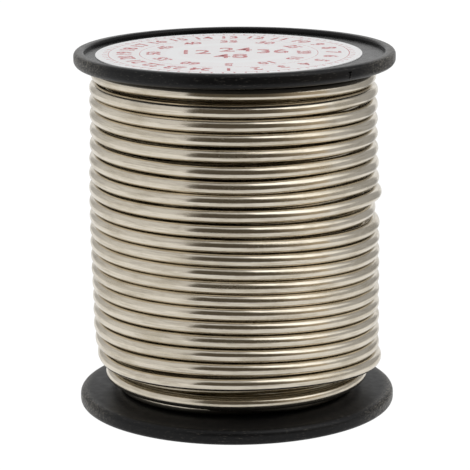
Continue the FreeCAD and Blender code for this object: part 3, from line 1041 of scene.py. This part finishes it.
def add_relief(tree, pattern, height, strength):
    """The surface's direction, tilted by a pattern as if it stood up to a height above the surface."""
    return add_node(tree, "Bump", {"Strength": strength, "Distance": height, "Height": pattern}).outputs[0]


def add_surface(tree, inputs):
    """Add the shader of a material and its output."""
    shader = add_node(tree, "BsdfPrincipled", inputs)
    add_node(tree, "OutputMaterial", {"Surface": shader.outputs[0]})


def cover(piece, material):
    """Give a piece this material alone."""
    piece.data.materials.clear()
    piece.data.materials.append(material)


print("finish helpers ready")

# %% [markdown]
# The reel is black plastic. Handling leaves pale scuffs on it: long marks round the rim, far fainter ones on
# the faces, and fine speckles at the two sides, where hands grip the rim. They could be painted by hand, but
# a noise with a threshold makes them anywhere, and the distances outwards and sideways say how strong they
# are.

# %% Scuffs on the plastic
GRIP_START = 25 * MM
GRIP_END = 34 * MM
MARKS_NOISE = {"scale": 900, "detail": 6, "roughness": 0.7}
MARKS_STRETCH = (1, 1, 6)
MARKS_LIMITS = (0.57, 0.68)
MARKS_ON_FACE = 0.02
MARKS_ON_RIM = 1.0
MARKS_UNTOUCHED = 0.2
MARKS_GRIPPED = 0.6
SPECKLE_NOISE = {"scale": 1 / (0.3 * MM), "detail": 3}
SPECKLE_LIMITS = (0.45, 0.75)


def plastic_scuffs(tree, place, rim):
    """How pale the plastic is rubbed, from 0 to 1."""
    gripped = rise(tree, calculate(tree, "ABSOLUTE", parts_of(tree, place)[0]), GRIP_START, GRIP_END)
    marks = noise(tree, stretched(tree, place, MARKS_STRETCH), **MARKS_NOISE)
    marks = rise(tree, marks, *MARKS_LIMITS)
    marks = calculate(tree, "MULTIPLY", marks, blend_values(tree, rim, MARKS_ON_FACE, MARKS_ON_RIM))
    marks = calculate(tree, "MULTIPLY", marks, blend_values(tree, gripped, MARKS_UNTOUCHED, MARKS_GRIPPED))
    speckles = rise(tree, noise(tree, place, **SPECKLE_NOISE), *SPECKLE_LIMITS)
    speckles = calculate(tree, "MULTIPLY", speckles, calculate(tree, "MULTIPLY", gripped, rim))
    return calculate(tree, "MAXIMUM", marks, speckles)


print(f"hands grip the reel from {GRIP_START / MM:.0f} mm to {GRIP_END / MM:.0f} mm out")

# %% [markdown]
# The mould was polished outside and left satin inside, and the rim lies in between, dull from handling.
# Three materials would show a seam where they meet, so one covers all: the height says which side of the
# flange a place is on, and the distance from the axis says where the rim starts. A mottle makes the gloss
# uneven, and a fine grain breaks up each reflection.

# %% Black plastic
PLASTIC_BLACK = (0.004, 0.004, 0.0045, 1.0)
SCUFF_GRAY = (0.33, 0.30, 0.25, 1.0)
PLASTIC_SPECULAR = 0.23
OUTSIDE_ROUGHNESS = 0.27
INSIDE_ROUGHNESS = 0.45
RIM_ROUGHNESS = 0.36
OUTSIDE_DEPTH = 2.2 * MM
RIM_START = 32.3 * MM
RIM_END = 34.8 * MM
MOTTLE_NOISE = {"scale": 700, "detail": 4}
MOTTLE_SPREAD = 0.2
GRAIN_NOISE = {"scale": 5000, "detail": 3}
GRAIN_HEIGHT = 0.03 * MM
GRAIN_STRENGTH = 0.15

plastic = bpy.data.materials.new("black_plastic")
tree = empty_tree(plastic)
place = own_place(tree)
rim = rise(tree, axis_distance(tree, place), RIM_START, RIM_END)
color = blend_colors(tree, plastic_scuffs(tree, place, rim), PLASTIC_BLACK, SCUFF_GRAY)
above_middle = calculate(tree, "SUBTRACT", parts_of(tree, place)[2], REEL_HEIGHT / 2)
from_middle = calculate(tree, "ABSOLUTE", above_middle)
inside = calculate(tree, "LESS_THAN", from_middle, REEL_HEIGHT / 2 - OUTSIDE_DEPTH)
roughness = blend_values(tree, inside, OUTSIDE_ROUGHNESS, INSIDE_ROUGHNESS)
roughness = blend_values(tree, rim, roughness, RIM_ROUGHNESS)
roughness = varied(tree, roughness, noise(tree, place, **MOTTLE_NOISE), MOTTLE_SPREAD)
relief = add_relief(tree, noise(tree, place, **GRAIN_NOISE), GRAIN_HEIGHT, GRAIN_STRENGTH)
add_surface(tree, {"Base Color": color, "Roughness": roughness, "Normal": relief,
                   "Specular IOR Level": PLASTIC_SPECULAR})
for piece in (bottom_flange, top_flange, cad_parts["barrel"]):
    cover(piece, plastic)
print("plastic on both flanges and the barrel")

# %% [markdown]
# Solder is a tin alloy, drawn through a die. It is a warm silver metal with fine lines along the wire, some
# of them dark, which stretch each reflection across it. Anisotropy would stretch it too, but too evenly.
# Long thin noise in the straight wire's coordinates gives real lines, as colour, relief and roughness, and a
# broad, soft noise dulls the metal in patches, as fingers and air do.

# %% Drawing lines and patches of the solder
TIN_LIGHT = (0.79, 0.72, 0.60, 1.0)
TIN_DARK = (0.62, 0.55, 0.43, 1.0)
PATCH_NOISE = {"scale": 1.0, "detail": 4, "roughness": 0.6}
PATCH_SCALES = (110, 500, 500)
PATCH_LIMITS = (0.4, 0.75)
LINE_NOISE = {"scale": 1.0, "detail": 3}
LINE_SCALES = (220, 3800, 3800)
LINE_DARK = (0.34, 0.31, 0.26, 1.0)
LINE_LIMITS = (0.5, 0.68)
LINE_SHARE = 0.25


def drawn_metal(tree, straight):
    """The metal's colour, with the patterns of its drawing lines and of its dull patches."""
    lines = noise(tree, stretched(tree, straight, LINE_SCALES), **LINE_NOISE)
    patches = noise(tree, stretched(tree, straight, PATCH_SCALES), **PATCH_NOISE)
    dull = rise(tree, patches, *PATCH_LIMITS)
    color = blend_colors(tree, dull, TIN_LIGHT, TIN_DARK)
    dark_lines = calculate(tree, "MULTIPLY", rise(tree, lines, *LINE_LIMITS), LINE_SHARE)
    return blend_colors(tree, dark_lines, color, LINE_DARK), lines, dull


print(f"lines {LINE_SCALES[1] / LINE_SCALES[0]:.0f} times as long as wide")

# %% [markdown]
# Shade is painted into the wire as brown: in the grooves between turns, and all over the wire that lies
# buried near the bottom. An Ambient Occlusion node could find the grooves, but it renders slowly. The
# straight wire's coordinates already say how near a place is to the turns above and below, and the height
# finds the buried wire.

# %% Painted shade in the grooves and on the buried wire
# This brown is painted shade, for the grooves between turns and for the buried wire near the bottom.
PAINTED_SHADE_BROWN = (0.17, 0.15, 0.09, 1.0)
GROOVE_SHADE_START = 0.82 * WIRE_RADIUS
GROOVE_SHADE_SHARE = 0.28
BURIED_BOTTOM = (6 * MM, 8 * MM)
BURIED_TOP = (13 * MM, 18 * MM)
BURIED_SHADE_SHARE = 0.5


def painted_shade_on(tree, straight, buried_shade_share):
    """How much shade is painted on the wire as brown, from 0 to 1."""
    over = calculate(tree, "ABSOLUTE", parts_of(tree, straight)[2])
    grooves = calculate(tree, "MULTIPLY", rise(tree, over, GROOVE_SHADE_START, WIRE_RADIUS), GROOVE_SHADE_SHARE)
    height = parts_of(tree, own_place(tree))[2]
    below_top = calculate(tree, "SUBTRACT", 1.0, rise(tree, height, *BURIED_TOP))
    buried = calculate(tree, "MULTIPLY", rise(tree, height, *BURIED_BOTTOM), below_top)
    buried = calculate(tree, "MULTIPLY", buried, buried_shade_share)
    return calculate(tree, "MAXIMUM", grooves, buried)


print(f"a groove starts {GROOVE_SHADE_START / MM:.2f} mm above the middle of the wire")

# %% [markdown]
# Both windings get the same metal, but one material for both would also paint shade on the outer turns beside
# the buried ones. So one function makes a material for each, with its own share of painted shade.

# %% Solder
METAL_ROUGHNESS = 0.17
DULL_ROUGHNESS = 0.12
LINE_SPREAD = 0.16
LINE_HEIGHT = 0.02 * MM
LINE_STRENGTH = 0.3


def add_solder(wire, name, buried_shade_share):
    """Give a winding the solder's material, with a share of painted shade where it lies buried."""
    solder = bpy.data.materials.new(name)
    tree = empty_tree(solder)
    straight = add_node(tree, "Attribute", attribute_name="straight_wire").outputs["Vector"]
    metal, lines, dull = drawn_metal(tree, straight)
    # The brown mixed in here is painted shade in the grooves and on the buried wire.
    color = blend_colors(tree, painted_shade_on(tree, straight, buried_shade_share), metal, PAINTED_SHADE_BROWN)
    roughness = calculate(tree, "MULTIPLY_ADD", dull, DULL_ROUGHNESS, METAL_ROUGHNESS)
    roughness = varied(tree, roughness, lines, LINE_SPREAD)
    relief = add_relief(tree, lines, LINE_HEIGHT, LINE_STRENGTH)
    add_surface(tree, {"Base Color": color, "Metallic": 1.0, "Roughness": roughness, "Normal": relief})
    cover(wire, solder)
    print(f"{name} on {wire.name}")


add_solder(outer_layer, "solder_metal", buried_shade_share=0.0)
add_solder(inner_layers, "solder_metal_inside", buried_shade_share=BURIED_SHADE_SHARE)

# %% [markdown]
# The dial's rings and ticks are drawn with distances: a ring is where the distance from the label's centre
# is near a value, and a tick is where the angle is near a step. Behind the numbers the print leaves a very
# faint tint, in broad bands. Curves could draw the rings too, but they would be one more piece on the paper.

# %% Rings and ticks of the dial
RINGS = ((26.2, 0.1), (19.4, 0.08))
BANDS = ((22.6, 2.8), (16.2, 2.4), (5.0, 6.0))
BAND_SHARE = 0.05
TICK_COUNT = 72
TICK_RADIUS = 27.0
TICK_LENGTH = 0.5
TICK_WIDTH = 0.09
STEP_MIDDLE = 0.5


def rings_at(tree, distance, rings):
    """Where a distance lies on any of the rings, given as (radius, half width)."""
    mask = 0.0
    for radius, half_width in rings:
        mask = calculate(tree, "MAXIMUM", mask, calculate(tree, "COMPARE", distance, radius, half_width))
    return mask


def dial_print(tree, centred):
    """How much ink the dial has, from 0 to 1, at a place from the label's centre in millimetres."""
    distance = axis_distance(tree, centred)
    across, ahead, _ = parts_of(tree, centred)
    angle = calculate(tree, "ARCTAN2", across, ahead)
    step = calculate(tree, "FRACT", calculate(tree, "MULTIPLY", angle, TICK_COUNT / (2 * math.pi)))
    ticks = calculate(tree, "COMPARE", step, STEP_MIDDLE, TICK_WIDTH)
    ticks = calculate(tree, "MULTIPLY", ticks, calculate(tree, "COMPARE", distance, TICK_RADIUS, TICK_LENGTH))
    lines = calculate(tree, "MAXIMUM", rings_at(tree, distance, RINGS), ticks)
    tint = calculate(tree, "MULTIPLY", rings_at(tree, distance, BANDS), BAND_SHARE)
    return calculate(tree, "MAXIMUM", lines, tint)


print(f"{len(RINGS)} rings and {TICK_COUNT} ticks")

# %% [markdown]
# The label is thin white paper with a cool tint and a faint fibre pattern, and its red ink is patchy. A
# clean print would look drawn on. The fibres that give the paper its relief also say where the dial's ink
# stays: on the high ones, and not in the hollows between them.

# %% Paper
PAPER_WHITE = (0.93, 0.93, 0.935, 1.0)
INK_RED = (0.56, 0.12, 0.13, 1.0)
PAPER_ROUGHNESS = 0.6
FIBRE_NOISE = {"scale": 2500, "detail": 5, "roughness": 0.65}
FIBRE_HEIGHT = 0.03 * MM
FIBRE_STRENGTH = 0.1
DIAL_INK = (0.3, 0.6)

paper = bpy.data.materials.new("label_paper")
tree = empty_tree(paper)
place = own_place(tree)
to_millimetres = {"Vector": place, "Location": -LABEL_CENTRE / MM, "Scale": (1 / MM, 1 / MM, 1 / MM)}
centred = add_node(tree, "Mapping", to_millimetres).outputs[0]
fibres = noise(tree, place, **FIBRE_NOISE)
inked = calculate(tree, "MULTIPLY", dial_print(tree, centred), rise(tree, fibres, *DIAL_INK))
color = blend_colors(tree, inked, PAPER_WHITE, INK_RED)
relief = add_relief(tree, fibres, FIBRE_HEIGHT, FIBRE_STRENGTH)
add_surface(tree, {"Base Color": color, "Roughness": PAPER_ROUGHNESS, "Normal": relief})
cover(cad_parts["front_label"], paper)
print("paper on the label")

# %% [markdown]
# The numbers are a piece of their own, so their ink is a material of its own. Where it is patchy it shows
# the paper's white, which is simpler than a transparent ink and looks the same on a flat label.

# %% Ink of the numbers
NUMBER_NOISE = {"scale": 2500, "detail": 5}
NUMBER_INK = (0.28, 0.52)

ink = bpy.data.materials.new("label_ink")
tree = empty_tree(ink)
inked = rise(tree, noise(tree, own_place(tree), **NUMBER_NOISE), *NUMBER_INK)
color = blend_colors(tree, inked, PAPER_WHITE, INK_RED)
add_surface(tree, {"Base Color": color, "Roughness": PAPER_ROUGHNESS})
cover(label_numbers, ink)
print("ink on the numbers")
